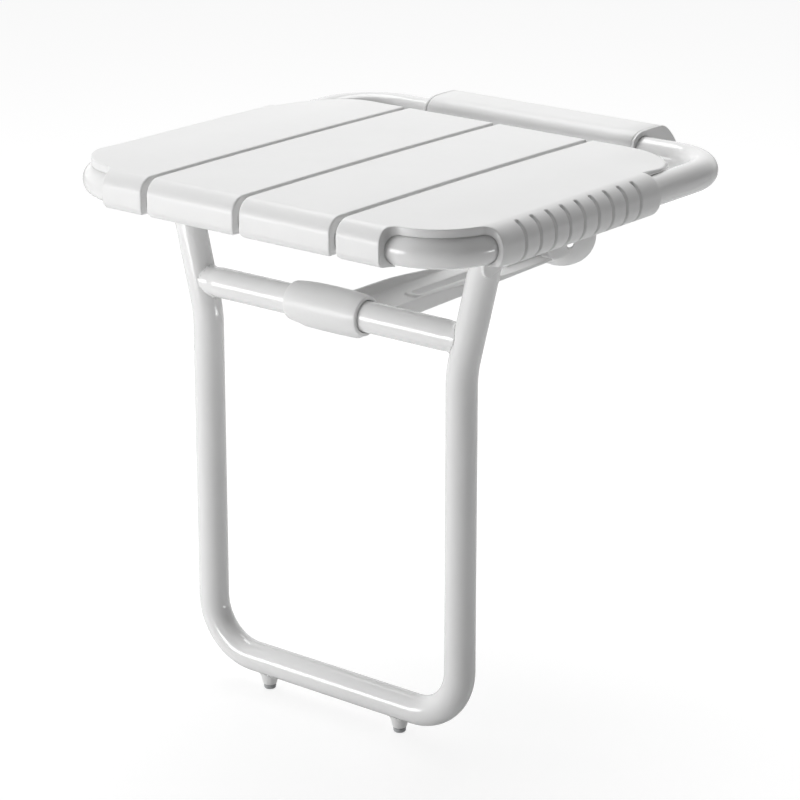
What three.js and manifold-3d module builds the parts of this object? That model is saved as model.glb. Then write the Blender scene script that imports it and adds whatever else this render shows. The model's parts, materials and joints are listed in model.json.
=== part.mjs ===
// Wall-hung folding shower seat with a drop-down leg.
//
// Millimetres. The wall is the plane y = 0 and the seat reaches out along -Y, so x runs left to
// right for somebody facing the wall and +Z is up. The origin is in the middle of the back face of
// the hinge plate. Inside this file heights are measured from the axis that the seat folds about,
// which lies AXIS_RISE above the origin, and the groups are raised by that much.
//
// Seat frame, leg and strut make a parallelogram: when the front of the seat is lifted, the leg
// stays upright and the strut turns with the seat.

import * as THREE from 'three';
import { mergeVertices } from 'three/addons/utils/BufferGeometryUtils.js';
import Module from 'manifold-3d';

const wasm = await Module();
wasm.setup();

// ---------------------------------------------------------------- driving dimensions

const GAP = 0.3;                  // space kept between pieces that touch

const TUBE_R = 13;                // round tube of the seat frame and of the leg
const TUBE_WALL = 2;
const TUBE_SIDES = 20;
const BORE_SIDES = 12;

const AXIS_RISE = 27;             // hinge axis above the middle of the wall plate
const HINGE_Y = -57;              // rear tube, which the seat turns on, from the wall
const LINK_SPAN = 283;            // hinge axis to leg pivot, and the strut's own length
const LINK_DROP = 97;             // leg pivot to crossbar, and hinge axis to strut pivot
const LEG_Y = HINGE_Y - LINK_SPAN;
const STRUT_Z = -LINK_DROP;

const FRAME_HALF = 199;           // side tubes, at their centreline
const FRAME_FRONT_Y = LEG_Y - 95; // front tube, at its centreline
const FRAME_BEND = 50;

const FLOOR_Z = -457.5;
const FOOT_BAR_Z = -432;
const LEG_HALF = 137;             // uprights, at their centreline
const LEG_BEND = 47;
const KNEE_Z = -125;
const KNEE_BEND = 110;
const KNEE_SPLAY = 0.246;         // sideways run for each millimetre of height above the knee
const LEG_TOP_X = LEG_HALF - KNEE_SPLAY * KNEE_Z;

const SLAT_TOP = 20;              // upper face of the slats, above the frame's centreline
const SLAT_PLATE = 6.4;
const SLAT_PITCH = 99.4;
const SLAT_GAP = 6;
const SLAT_REAR_Y = LEG_Y + 225;
const WRAP_R = 18;                // outside of the slats where they curl round the side tube
const HOOK_REACH = 20.5;          // front face of the slats, ahead of the front tube's centreline
const HOOK_UNDER = -13;           // lower edge of the slats' front
const HOOK_END = -1.1;            // radians: how far down the front tube the slats reach
const HOOK_TOP_R = 14;            // round of the front's upper edge ...
const HOOK_LOW_R = 8;             // ... and of its lower edge
const WRAP_BORE = TUBE_R + 0.35;
const WRAP_END = -1.75;           // radians: how far round the underside the curl goes
const CUT_X = 145.5;              // the corner cut-out runs from here on the front tube ...
const CUT_Y = LEG_Y - 53;         // ... to here on the side tube,
const CUT_OVER = 5.5;             // ... and this far outside the tube's centreline between them
const SIDE_WRAP_END_Y = LEG_Y + 160;
const REAR_CORNER = 46;

const COVER_HALF = 115;           // hinge housing, half its length
const COVER_WALL = 1.8;
const CAP_THICK = 3;
const PLATE_THICK = 4;
const BEARING_X = 82;
const BEARING_WIDTH = 26;

const SLEEVE_HALF = 39;           // barrel of the strut round the crossbar
const SLEEVE_R = 19;
const SLEEVE_END_R = 16;
const SLEEVE_BORE = TUBE_R + 0.5;
const ARM_HALF = 30;
const ARM_WALL = 3;
const TONGUE_HALF = 14;
const KNUCKLE_R = 15.5;
const PIN_R = 4;
const PIN_BORE = 4.4;
const BASE_R = 31;                // round wall base of the strut
const BASE_Z = -100;
const BASE_DEPTH = 40;

const FOOT_X = 73;

// ---------------------------------------------------------------- materials

const coatedWhite = () => new THREE.MeshStandardMaterial({ color: 0xf1f1f0, roughness: 0.22, metalness: 0 });
const plasticWhite = () => new THREE.MeshStandardMaterial({ color: 0xededec, roughness: 0.4, metalness: 0 });
const plasticGrey = () => new THREE.MeshStandardMaterial({ color: 0xb9bbbd, roughness: 0.55, metalness: 0 });
const steel = () => new THREE.MeshStandardMaterial({ color: 0xc4c6c8, roughness: 0.3, metalness: 1 });
const rubber = () => new THREE.MeshStandardMaterial({ color: 0xa9abad, roughness: 0.8, metalness: 0 });

// ---------------------------------------------------------------- geometry helpers

/** Solid for joining and cutting, from a closed geometry. */
function solid(geometry) {
  const bare = geometry.clone();
  bare.deleteAttribute('normal');
  bare.deleteAttribute('uv');
  const merged = mergeVertices(bare, 1e-4);
  return new wasm.Manifold(new wasm.Mesh({
    numProp: 3,
    vertProperties: new Float32Array(merged.attributes.position.array),
    triVerts: new Uint32Array(merged.index.array),
  }));
}

/** Geometry from a joined or cut solid. */
function geometryOf(manifold) {
  const mesh = manifold.getMesh();
  const geometry = new THREE.BufferGeometry();
  geometry.setAttribute('position', new THREE.BufferAttribute(new Float32Array(mesh.vertProperties), 3));
  geometry.setIndex(new THREE.BufferAttribute(new Uint32Array(mesh.triVerts), 1));
  geometry.computeVertexNormals();
  return geometry;
}

const join = (first, ...others) => others.reduce((sum, other) => sum.add(other), first);
const cut = (first, ...others) => others.reduce((rest, other) => rest.subtract(other), first);

/** A bent tube's centreline: straight runs joined by round bends, sampled most finely in the bends. */
class BentPath extends THREE.Curve {
  constructor(corners, radii, bendSteps = 8) {
    super();
    this.stations = [corners[0].clone()];
    for (let i = 1; i < corners.length - 1; i += 1) {
      this.addBend(corners[i - 1], corners[i], corners[i + 1], radii[i - 1], bendSteps);
    }
    this.stations.push(corners[corners.length - 1].clone());
    this.steps = this.stations.length - 1;
  }

  addBend(before, corner, after, radius, steps) {
    const back = before.clone().sub(corner).normalize();
    const ahead = after.clone().sub(corner).normalize();
    const half = back.angleTo(ahead) / 2;
    const centre = corner.clone().addScaledVector(
      back.clone().add(ahead).normalize(), radius / Math.sin(half));
    const from = corner.clone().addScaledVector(back, radius / Math.tan(half)).sub(centre);
    const to = corner.clone().addScaledVector(ahead, radius / Math.tan(half)).sub(centre);
    const axis = from.clone().cross(to).normalize();
    const turn = from.angleTo(to);
    for (let k = 0; k <= steps; k += 1) {
      this.stations.push(from.clone().applyAxisAngle(axis, turn * k / steps).add(centre));
    }
  }

  getPoint(t, target = new THREE.Vector3()) {
    const place = Math.min(t * this.steps, this.steps - 1e-9);
    const i = Math.floor(place);
    return target.lerpVectors(this.stations[i], this.stations[i + 1], place - i);
  }

  getPointAt(u, target) {
    return this.getPoint(u, target);
  }

  getTangentAt(u, target = new THREE.Vector3()) {
    const i = Math.round(u * this.steps);
    const ahead = this.stations[Math.min(i + 1, this.steps)].clone().sub(this.stations[i]).normalize();
    const behind = this.stations[i].clone().sub(this.stations[Math.max(i - 1, 0)]).normalize();
    return target.addVectors(ahead, behind).normalize();
  }
}

/** Regular outline of a circle, its corners on the circle and four of them on the axes. */
function circleShape(radius, sides, x = 0, y = 0) {
  const points = [];
  for (let i = 0; i < sides; i += 1) {
    const a = 2 * Math.PI * i / sides;
    points.push(new THREE.Vector2(x + radius * Math.cos(a), y + radius * Math.sin(a)));
  }
  return points;
}

/** Round bar or tube along a path. */
function tubeAlong(path, radius, boreRadius = 0) {
  const shape = new THREE.Shape(circleShape(radius, TUBE_SIDES));
  if (boreRadius > 0) {
    shape.holes.push(new THREE.Path(circleShape(boreRadius, BORE_SIDES)));
  }
  return new THREE.ExtrudeGeometry(shape, { steps: path.steps, extrudePath: path });
}

/** Plate of a given outline in (y, z), from x0 to x1. */
function slabX(outline, x0, x1, holes = []) {
  const shape = new THREE.Shape(outline);
  holes.forEach((hole) => shape.holes.push(new THREE.Path(hole)));
  const options = { depth: x1 - x0, bevelEnabled: false, curveSegments: 8 };
  const geometry = new THREE.ExtrudeGeometry(shape, options);
  geometry.applyMatrix4(new THREE.Matrix4().makeBasis(
    new THREE.Vector3(0, 1, 0), new THREE.Vector3(0, 0, 1), new THREE.Vector3(1, 0, 0)));
  geometry.translate(x0, 0, 0);
  return geometry;
}

/** Plate of a given outline in (z, x), from y0 to y1. */
function slabY(outline, y0, y1, holes = []) {
  const shape = new THREE.Shape(outline);
  holes.forEach((hole) => shape.holes.push(new THREE.Path(hole)));
  const options = { depth: y1 - y0, bevelEnabled: false, curveSegments: 8 };
  const geometry = new THREE.ExtrudeGeometry(shape, options);
  geometry.applyMatrix4(new THREE.Matrix4().makeBasis(
    new THREE.Vector3(0, 0, 1), new THREE.Vector3(1, 0, 0), new THREE.Vector3(0, 1, 0)));
  geometry.translate(0, y0, 0);
  return geometry;
}

/** Plate of a given outline in (x, y), from z0 to z1. */
function slabZ(outline, z0, z1, holes = []) {
  const shape = new THREE.Shape(outline);
  holes.forEach((hole) => shape.holes.push(new THREE.Path(hole)));
  const options = { depth: z1 - z0, bevelEnabled: false, curveSegments: 8 };
  const geometry = new THREE.ExtrudeGeometry(shape, options);
  geometry.translate(0, 0, z0);
  return geometry;
}

const v2 = (x, y) => new THREE.Vector2(x, y);
const v3 = (x, y, z) => new THREE.Vector3(x, y, z);

/** Points on an arc round (x, y), both ends included. */
function arc(x, y, radius, from, to, steps) {
  const points = [];
  for (let i = 0; i <= steps; i += 1) {
    const a = from + (to - from) * i / steps;
    points.push(v2(x + radius * Math.cos(a), y + radius * Math.sin(a)));
  }
  return points;
}

/** Turned piece round an axis along X, from (radius, x) pairs. */
function turnedX(profile, sides = 20) {
  const geometry = new THREE.LatheGeometry(profile.map(([r, x]) => v2(r, x)), sides);
  geometry.applyMatrix4(new THREE.Matrix4().makeBasis(v3(0, 1, 0), v3(1, 0, 0), v3(0, 0, -1)));
  return outward(geometry);
}

/** Turned piece round an axis along Y, from (radius, y) pairs. */
function turnedY(profile, sides = 24) {
  return outward(new THREE.LatheGeometry(profile.map(([r, y]) => v2(r, y)), sides));
}

/** Turned piece round an axis along Z, from (radius, z) pairs. */
function turnedZ(profile, sides = 20) {
  const geometry = new THREE.LatheGeometry(profile.map(([r, z]) => v2(r, z)), sides);
  geometry.rotateX(Math.PI / 2);
  return outward(geometry);
}

/** The same geometry with its faces pointing out of the material. */
function outward(geometry) {
  const merged = geometry.clone();
  merged.deleteAttribute('normal');
  merged.deleteAttribute('uv');
  const result = mergeVertices(merged, 1e-4);
  const kept = [];
  const index = result.index.array;
  for (let i = 0; i < index.length; i += 3) {
    const [a, b, c] = [index[i], index[i + 1], index[i + 2]];
    if (a !== b && b !== c && a !== c) {
      kept.push(a, b, c);
    }
  }
  if (signedVolume(result, kept) < 0) {
    kept.reverse();
  }
  result.setIndex(kept);
  result.computeVertexNormals();
  return result;
}

function signedVolume(geometry, index) {
  const position = geometry.attributes.position;
  const [a, b, c] = [v3(0, 0, 0), v3(0, 0, 0), v3(0, 0, 0)];
  let volume = 0;
  for (let i = 0; i < index.length; i += 3) {
    a.fromBufferAttribute(position, index[i]);
    b.fromBufferAttribute(position, index[i + 1]);
    c.fromBufferAttribute(position, index[i + 2]);
    volume += a.dot(b.cross(c)) / 6;
  }
  return volume;
}

const at = (geometry, x, y, z) => geometry.clone().translate(x, y, z);

/** Mirror image on the other side of the middle of the seat. */
function mirrored(geometry) {
  return outward(geometry.clone().scale(-1, 1, 1));
}

const object = new THREE.Group();
const groups = {};
for (const name of ['wall_mounting', 'seat', 'leg', 'strut']) {
  groups[name] = new THREE.Group();
  object.add(groups[name]);
}

function add(group, name, geometry, material) {
  const mesh = new THREE.Mesh(geometry, material());
  mesh.name = name;
  groups[group].add(mesh);
}

/** Adds a left piece and its mirror image on the right. */
function addPair(group, name, rightGeometry, material) {
  add(group, `${name}_right`, rightGeometry, material);
  add(group, `${name}_left`, mirrored(rightGeometry), material);
}

// ---------------------------------------------------------------- hinge housing on the wall

/** Outside of the housing's section in (y, z), from the lower front edge over the top to the wall. */
const COVER_LINE = [
  v2(-72.2, 1.5),
  v2(-72, 9.5),
  v2(-69.5, 13.2),
  v2(-64.5, 16.6),
  v2(-58, 18.2),
  v2(-30, 18.2),
  v2(-24, 16.6),
  v2(-17.5, 12.5),
  v2(-10, 5),
  v2(-4, -3.4),
  v2(-0.3, -9.6),
];

/** An open line moved to its right-hand side by a distance, its corners kept sharp. */
function offsetLine(line, distance) {
  return line.map((point, i) => {
    const ahead = line[Math.min(i + 1, line.length - 1)].clone().sub(line[Math.min(i, line.length - 2)]);
    const behind = line[Math.max(i, 1)].clone().sub(line[Math.max(i - 1, 0)]);
    const first = behind.normalize();
    const second = ahead.normalize();
    const side = v2(first.y + second.y, -first.x - second.x).normalize();
    const spread = side.dot(v2(second.y, -second.x));
    return point.clone().addScaledVector(side, distance / spread);
  });
}

function housingCover() {
  const inner = offsetLine(COVER_LINE, COVER_WALL).reverse();
  const length = COVER_HALF - CAP_THICK - GAP;
  return slabX([...COVER_LINE, ...inner], -length, length);
}

function endCap() {
  const hole = circleShape(TUBE_R + 0.5, TUBE_SIDES, HINGE_Y, 0);
  const [front, ...rest] = COVER_LINE;
  const outline = [v2(-66, -17), v2(front.x, -10), front, ...rest, v2(-GAP, -17)];
  return slabX(outline, COVER_HALF - CAP_THICK, COVER_HALF, [hole]);
}

const PLATE_HALF = 104;
const PLATE_TOP = 15 - AXIS_RISE;
const PLATE_BOTTOM = -15 - AXIS_RISE;
const SCREW_PLACES = [[-56, -AXIS_RISE], [-20, -AXIS_RISE], [20, -AXIS_RISE], [56, -AXIS_RISE]];

function wallPlate() {
  const outline = [v2(PLATE_BOTTOM, -PLATE_HALF), v2(PLATE_BOTTOM, PLATE_HALF), v2(PLATE_TOP, PLATE_HALF),
    v2(PLATE_TOP, -PLATE_HALF)];
  const holes = SCREW_PLACES.map(([x, z]) => circleShape(3.2, 12, z, x));
  return slabY(outline, -PLATE_THICK, 0, holes);
}

/** Wall screw pointing at the wall, its head standing on a face that is `depth` in front of it. */
function wallScrew(depth, headRadius) {
  return turnedY([[0, 0], [2.8, 0], [2.8, -depth], [headRadius, -depth], [headRadius, -depth - 1.6],
    [headRadius * 0.65, -depth - 3.4], [0, -depth - 3.4]], 12);
}

/** Plastic saddle behind the rear tube, which it turns against. */
function hingeSaddle() {
  const ring = TUBE_R + 2.8;
  const back = -PLATE_THICK - GAP;
  const outline = [
    ...arc(HINGE_Y, 0, ring, Math.PI * 0.55, Math.PI * 0.15, 6),
    v2(back, PLATE_TOP - 2),
    v2(back, PLATE_BOTTOM + 2),
    ...arc(HINGE_Y, 0, ring, -Math.PI * 0.3, -Math.PI * 0.55, 4),
    ...arc(HINGE_Y, 0, TUBE_R + 0.6, -Math.PI * 0.55, Math.PI * 0.55, 14),
  ];
  return slabX(outline, BEARING_X - BEARING_WIDTH / 2, BEARING_X + BEARING_WIDTH / 2);
}

add('wall_mounting', 'hinge_wall_plate', wallPlate(), steel);
add('wall_mounting', 'housing_cover', housingCover(), plasticWhite);
addPair('wall_mounting', 'housing_end_cap', endCap(), plasticWhite);
addPair('wall_mounting', 'hinge_saddle', hingeSaddle(), plasticGrey);
SCREW_PLACES.forEach(([x, z], i) => {
  add('wall_mounting', `hinge_wall_screw_${i + 1}`, at(wallScrew(PLATE_THICK + GAP, 6.5), x, 0, z), steel);
});

// ---------------------------------------------------------------- strut's wall base

const KNUCKLE_IN = TONGUE_HALF + 0.5;
const KNUCKLE_OUT = 26;
const BASE_FRONT_WALL = 3.5;
const BASE_SCREW_X = 10;
const BASE_SCREW_Z = BASE_Z + 18;

/** Cup with an open back, which stands on the wall. */
function baseCup() {
  const floor = -BASE_DEPTH + BASE_FRONT_WALL;
  const outside = [
    [0, -BASE_DEPTH], [22.5, -BASE_DEPTH], [27.5, -35], [30.2, -26], [BASE_R, -12], [29.5, -5], [26, 0],
  ];
  const inside = [[21.5, 0], [25.5, -5], [27.4, -12], [26.8, -26], [24.6, -33], [21, floor], [0, floor]];
  return at(turnedY([...outside, ...inside], 28), 0, 0, BASE_Z);
}

/** Ear beside the strut's tongue, which holds one end of the pivot pin. */
function baseKnuckle() {
  const root = -BASE_DEPTH + 2;
  const side = [
    ...arc(HINGE_Y, STRUT_Z, KNUCKLE_R, Math.PI * 0.5, Math.PI * 1.5, 14),
    v2(root, STRUT_Z - KNUCKLE_R),
    v2(root, STRUT_Z + KNUCKLE_R),
  ];
  const ear = solid(slabX(side, KNUCKLE_IN, KNUCKLE_OUT, [circleShape(PIN_R + 0.1, 16, HINGE_Y, STRUT_Z)]));
  const round = solid(at(turnedY([[0, -90], [28, -90], [28, 0], [0, 0]], 28), 0, 0, BASE_Z));
  return ear.intersect(round);
}

/** Drain hole through the shoulder of the cup, beside the knuckle. */
function drainHole() {
  const drill = turnedX([[0, -9], [3.6, -9], [3.6, 9], [0, 9]], 16);
  drill.rotateZ(-Math.PI / 4);
  return solid(at(drill, 26, -BASE_DEPTH + 2.5, BASE_Z - 3));
}

function screwColumn() {
  return turnedY([[0, -BASE_DEPTH + 1], [6.4, -BASE_DEPTH + 1], [6.4, -GAP], [0, -GAP]], 16);
}

function screwBore() {
  return turnedY([[0, 1], [3.1, 1], [3.1, -8], [5, -8], [5, -60], [0, -60]], 16);
}

function strutBase() {
  const ear = baseKnuckle();
  const places = [-BASE_SCREW_X, BASE_SCREW_X];
  const columns = places.map((x) => solid(at(screwColumn(), x, 0, BASE_SCREW_Z)));
  const bores = places.map((x) => solid(at(screwBore(), x, 0, BASE_SCREW_Z)));
  const whole = join(solid(baseCup()), ear, ear.mirror([1, 0, 0]), ...columns);
  return geometryOf(cut(whole, ...bores, drainHole(), drainHole().mirror([1, 0, 0])));
}

function strutPin() {
  const end = KNUCKLE_OUT + 0.4;
  const pin = turnedX([[0, -end], [PIN_R - 0.1, -end], [PIN_R - 0.1, end], [0, end]], 16);
  return at(pin, 0, HINGE_Y, STRUT_Z);
}

add('wall_mounting', 'strut_wall_base', strutBase(), plasticWhite);
add('wall_mounting', 'strut_pivot_pin', strutPin(), steel);
for (const [side, x] of [['left', -BASE_SCREW_X], ['right', BASE_SCREW_X]]) {
  add('wall_mounting', `strut_base_screw_${side}`, at(wallScrew(8 + GAP, 4.6), x, 0, BASE_SCREW_Z), steel);
}

// ---------------------------------------------------------------- seat frame

function framePath() {
  const corners = [
    v3(GAP, HINGE_Y, 0),
    v3(FRAME_HALF, HINGE_Y, 0),
    v3(FRAME_HALF, FRAME_FRONT_Y, 0),
    v3(-FRAME_HALF, FRAME_FRONT_Y, 0),
    v3(-FRAME_HALF, HINGE_Y, 0),
    v3(-GAP, HINGE_Y, 0),
  ];
  return new BentPath(corners, [FRAME_BEND, FRAME_BEND, FRAME_BEND, FRAME_BEND]);
}

/** Dowel inside the rear tube, where the two ends of the bent tube meet. */
function frameDowel() {
  const dowel = turnedX([[0, -45], [10, -45], [10, 45], [0, 45]], 12);
  return at(dowel, 0, HINGE_Y, 0);
}

const RAIL_Y = SLAT_REAR_Y - 22;
const RAIL_HALF = FRAME_HALF - TUBE_R - GAP;

const RAIL_TOP = SLAT_TOP - SLAT_PLATE - GAP;
const RAIL_THICK = 5;
const RAIL_DEPTH = 26;
const RAIL_SCREWS = [24, 74, 122, 166];   // each side of the middle

/** Upright bores for the slat screws, up to a height. */
function railBores(top) {
  const places = [...RAIL_SCREWS, ...RAIL_SCREWS.map((x) => -x)];
  return places.map((x) => solid(slabZ(circleShape(2.3, 12, x, RAIL_Y), 0, top)));
}

/** Flat bar under the back of the slats, welded between the side tubes. */
function slatRail() {
  const [front, back] = [RAIL_Y - RAIL_DEPTH / 2, RAIL_Y + RAIL_DEPTH / 2];
  const bottom = RAIL_TOP - RAIL_THICK;
  const bar = slabX([v2(front, bottom), v2(back, bottom), v2(back, RAIL_TOP), v2(front, RAIL_TOP)],
    -RAIL_HALF, RAIL_HALF);
  return geometryOf(cut(solid(bar), ...railBores(RAIL_TOP + 1)));
}

const LUG_X = FRAME_HALF - TUBE_R - GAP;
const LUG_THICK = 3.6;

/** Plate welded inside a side tube, which the leg hangs from. */
function legLug() {
  const outline = [
    v2(LEG_Y - 36, 8),
    ...arc(LEG_Y - 26, -22, 10, Math.PI, Math.PI * 1.5, 3),
    ...arc(LEG_Y + 6, -4, 16, -Math.PI * 0.3, 0, 3),
    v2(LEG_Y + 22, 8),
  ];
  const hole = circleShape(PIN_R + 0.1, 16, LEG_Y, 0);
  return slabX(outline, LUG_X - LUG_THICK, LUG_X, [hole]);
}

function legPin() {
  const inner = LEG_TOP_X - 16;
  const pin = turnedX([[0, inner - 2], [7, inner - 2], [7, inner], [PIN_R - 0.1, inner], [PIN_R - 0.1, LUG_X],
    [0, LUG_X]], 16);
  return at(pin, 0, LEG_Y, 0);
}

function legWasher() {
  const side = LUG_X - LUG_THICK - GAP;
  return slabX(circleShape(10, 16, LEG_Y, 0), side - 1.2, side, [circleShape(PIN_BORE, 16, LEG_Y, 0)]);
}

add('seat', 'seat_frame_tube', tubeAlong(framePath(), TUBE_R, TUBE_R - TUBE_WALL), coatedWhite);
add('seat', 'frame_joint_dowel', frameDowel(), steel);
add('seat', 'slat_rail', slatRail(), coatedWhite);
addPair('seat', 'leg_lug', legLug(), coatedWhite);
addPair('seat', 'leg_pivot_pin', legPin(), steel);
addPair('seat', 'leg_pivot_washer', legWasher(), plasticGrey);

// ---------------------------------------------------------------- slats

/** A slat's section in (y, z): a plate whose front comes down over the front tube. */
function slatSection() {
  const under = SLAT_TOP - SLAT_PLATE;
  const front = FRAME_FRONT_Y - HOOK_REACH;
  return [
    v2(SLAT_REAR_Y, under),
    v2(SLAT_REAR_Y, SLAT_TOP - 2.5),
    v2(SLAT_REAR_Y - 2.5, SLAT_TOP - 0.6),
    v2(SLAT_REAR_Y - 70, SLAT_TOP),
    ...arc(front + HOOK_TOP_R, SLAT_TOP - HOOK_TOP_R, HOOK_TOP_R, Math.PI * 0.5, Math.PI, 8),
    ...arc(front + HOOK_LOW_R, HOOK_UNDER + HOOK_LOW_R, HOOK_LOW_R, Math.PI, Math.PI * 1.5, 6),
    v2(FRAME_FRONT_Y - WRAP_BORE * Math.cos(HOOK_END), HOOK_UNDER),
    ...arc(FRAME_FRONT_Y, 0, WRAP_BORE, Math.PI - HOOK_END, Math.PI * 0.5, 12),
    v2(FRAME_FRONT_Y + 8, under),
  ];
}

/** The side's section in (x, z): the plate's edge, curling round the side tube. */
function sideSection() {
  const under = SLAT_TOP - SLAT_PLATE;
  return [
    v2(FRAME_HALF - 30, SLAT_TOP),
    v2(FRAME_HALF - 30, under),
    v2(FRAME_HALF - 8, under),
    ...arc(FRAME_HALF, 0, WRAP_BORE, Math.PI * 0.5, WRAP_END, 14),
    ...arc(FRAME_HALF, 0, WRAP_R, WRAP_END, Math.PI * 0.5, 18),
    v2(FRAME_HALF - 10, SLAT_TOP - 1.0),
    v2(FRAME_HALF - 22, SLAT_TOP),
  ];
}

/** Side section pushed along y. */
function sideWrap(y0, y1) {
  const geometry = new THREE.ExtrudeGeometry(new THREE.Shape(sideSection()),
    { depth: y1 - y0, bevelEnabled: false });
  geometry.applyMatrix4(new THREE.Matrix4().makeBasis(v3(1, 0, 0), v3(0, 0, 1), v3(0, -1, 0)));
  return geometry.translate(0, y1, 0);
}

const SCREW_TIP = SLAT_TOP - 3.2;

function innerSlat(x0) {
  const plate = solid(slabX(slatSection(), x0, x0 + SLAT_PITCH - SLAT_GAP));
  return geometryOf(cut(plate, ...railBores(SCREW_TIP)));
}

/** Right-hand outer slat: front curl, side curl, open front corner and rounded rear corner. */
function outerSlat() {
  const x0 = SLAT_PITCH + SLAT_GAP / 2;
  const bendX = FRAME_HALF - FRAME_BEND;
  const bendY = FRAME_FRONT_Y + FRAME_BEND;
  const cutBend = FRAME_BEND + CUT_OVER;
  const frontPart = solid(slabX(slatSection(), x0, CUT_X));
  const sidePart = solid(sideWrap(CUT_Y, SIDE_WRAP_END_Y));
  const plate = solid(slabX(slatSection(), x0, FRAME_HALF));
  const rear = FRAME_HALF - REAR_CORNER;
  const topOutline = [
    v2(x0, SLAT_REAR_Y + 1),
    v2(x0, bendY - cutBend),
    v2(CUT_X, bendY - cutBend),
    ...arc(bendX, bendY, cutBend, -Math.PI * 0.5, Math.asin((CUT_Y - bendY) / cutBend), 12),
    v2(FRAME_HALF, SLAT_REAR_Y - REAR_CORNER),
    ...arc(rear, SLAT_REAR_Y - REAR_CORNER, REAR_CORNER, 0, Math.PI * 0.5, 8),
    v2(rear, SLAT_REAR_Y + 1),
  ];
  const trim = solid(slabZ(topOutline, 8, 40));
  const whole = join(frontPart, sidePart, plate.intersect(trim));
  return geometryOf(cut(whole, ...railBores(SCREW_TIP)));
}

/** Screw up through the rail into a slat. */
function slatScrew() {
  const seat = RAIL_TOP - RAIL_THICK - GAP;
  const tip = SCREW_TIP - GAP;
  const shaft = [[0, tip], [1.4, tip], [2, tip - 1.4], [2, seat]];
  const head = [[4.2, seat], [4.2, seat - 1.2], [2.4, seat - 2.6], [0, seat - 2.6]];
  return turnedZ([...shaft, ...head], 12);
}

add('seat', 'slat_2', innerSlat(-SLAT_PITCH + SLAT_GAP / 2), plasticWhite);
add('seat', 'slat_3', innerSlat(SLAT_GAP / 2), plasticWhite);
add('seat', 'slat_4', outerSlat(), plasticWhite);
add('seat', 'slat_1', mirrored(outerSlat()), plasticWhite);
RAIL_SCREWS.forEach((x, i) => {
  addPair('seat', `slat_screw_${i + 1}`, at(slatScrew(), x, RAIL_Y, 0), steel);
});

// ---------------------------------------------------------------- leg

function legPath(endZ) {
  const endX = LEG_HALF + KNEE_SPLAY * (endZ - KNEE_Z);
  const corners = [
    v3(endX, LEG_Y, endZ),
    v3(LEG_HALF, LEG_Y, KNEE_Z),
    v3(LEG_HALF, LEG_Y, FOOT_BAR_Z),
    v3(-LEG_HALF, LEG_Y, FOOT_BAR_Z),
    v3(-LEG_HALF, LEG_Y, KNEE_Z),
    v3(-endX, LEG_Y, endZ),
  ];
  return new BentPath(corners, [KNEE_BEND, LEG_BEND, LEG_BEND, KNEE_BEND], 7);
}

const LEG_END_Z = -14;

/** Straight tube across the leg, its ends shaped to sit against the uprights. */
function crossbar() {
  const path = new BentPath([v3(-LEG_HALF - 3, LEG_Y, STRUT_Z), v3(LEG_HALF + 3, LEG_Y, STRUT_Z)], []);
  const bar = solid(tubeAlong(path, TUBE_R, TUBE_R - TUBE_WALL));
  const uprights = solid(tubeAlong(legPath(LEG_END_Z), TUBE_R + GAP));
  return geometryOf(cut(bar, uprights));
}

/** Knuckle pushed into the top of an upright, with the pivot's bore across it. */
function legKnuckle() {
  const half = 11;
  const hub = solid(slabX(circleShape(11.8, 20, LEG_Y, 0), LEG_TOP_X - half, LEG_TOP_X + half));
  const lean = Math.atan(KNEE_SPLAY);
  const collar = TUBE_R - 1;
  const inner = TUBE_R - 2.9;
  const profile = [[0, 0], [collar, 0], [collar, -14], [inner, -14], [inner, -40], [0, -40]];
  const spigot = turnedZ(profile, BORE_SIDES + 4);
  spigot.rotateY(lean);
  const stem = solid(at(spigot, LEG_TOP_X, LEG_Y, 0));
  const square = [v2(0, LEG_Y - 40), v2(400, LEG_Y - 40), v2(400, LEG_Y + 40), v2(0, LEG_Y + 40)];
  const below = solid(slabZ(square, -80, -2));
  const bore = solid(slabX(circleShape(PIN_BORE, 16, LEG_Y, 0), LEG_TOP_X - 40, LEG_TOP_X + 40));
  return geometryOf(cut(join(hub, stem.intersect(below)), bore));
}

/** White cone under the foot bar. */
function footBoss() {
  const cone = solid(at(turnedZ([[0, 8], [8.6, 8], [8.2, -14], [7.2, -17.5], [5.9, -21.2], [0, -21.2]], 20),
    FOOT_X, LEG_Y, FOOT_BAR_Z));
  const path = new BentPath([v3(0, LEG_Y, FOOT_BAR_Z), v3(200, LEG_Y, FOOT_BAR_Z)], []);
  return geometryOf(cut(cone, solid(tubeAlong(path, TUBE_R + GAP))));
}

function footTip() {
  const top = FOOT_BAR_Z - 21.2 - GAP;
  const profile = [[0, top], [5.6, top], [5.2, FLOOR_Z + 0.8], [4.4, FLOOR_Z], [0, FLOOR_Z]];
  return at(turnedZ(profile, 20), FOOT_X, LEG_Y, 0);
}

add('leg', 'leg_tube', tubeAlong(legPath(LEG_END_Z), TUBE_R, TUBE_R - TUBE_WALL), coatedWhite);
add('leg', 'leg_crossbar', crossbar(), coatedWhite);
addPair('leg', 'leg_knuckle', legKnuckle(), plasticGrey);
addPair('leg', 'foot_boss', footBoss(), plasticWhite);
addPair('leg', 'foot_tip', footTip(), rubber);

// ---------------------------------------------------------------- strut

const ARM_FRONT_Z = -117;          // underside of the arm, beneath the crossbar
const ARM_REAR_Z = -111.5;         // and where it meets the wall base
const ARM_REAR_Y = HINGE_Y - KNUCKLE_R - 1.5;

/** Arm's side wall in (y, z), hollowed round the wall base's knuckle. */
function armSide() {
  return [
    v2(LEG_Y + 6, ARM_FRONT_Z),
    v2(ARM_REAR_Y + 5, ARM_REAR_Z),
    ...arc(HINGE_Y, STRUT_Z, KNUCKLE_R + 1.5, Math.PI * 1.28, Math.PI * 1.06, 4),
    v2(LEG_Y + 150, -102.5),
    v2(LEG_Y + 6, -101),
  ];
}

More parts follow.
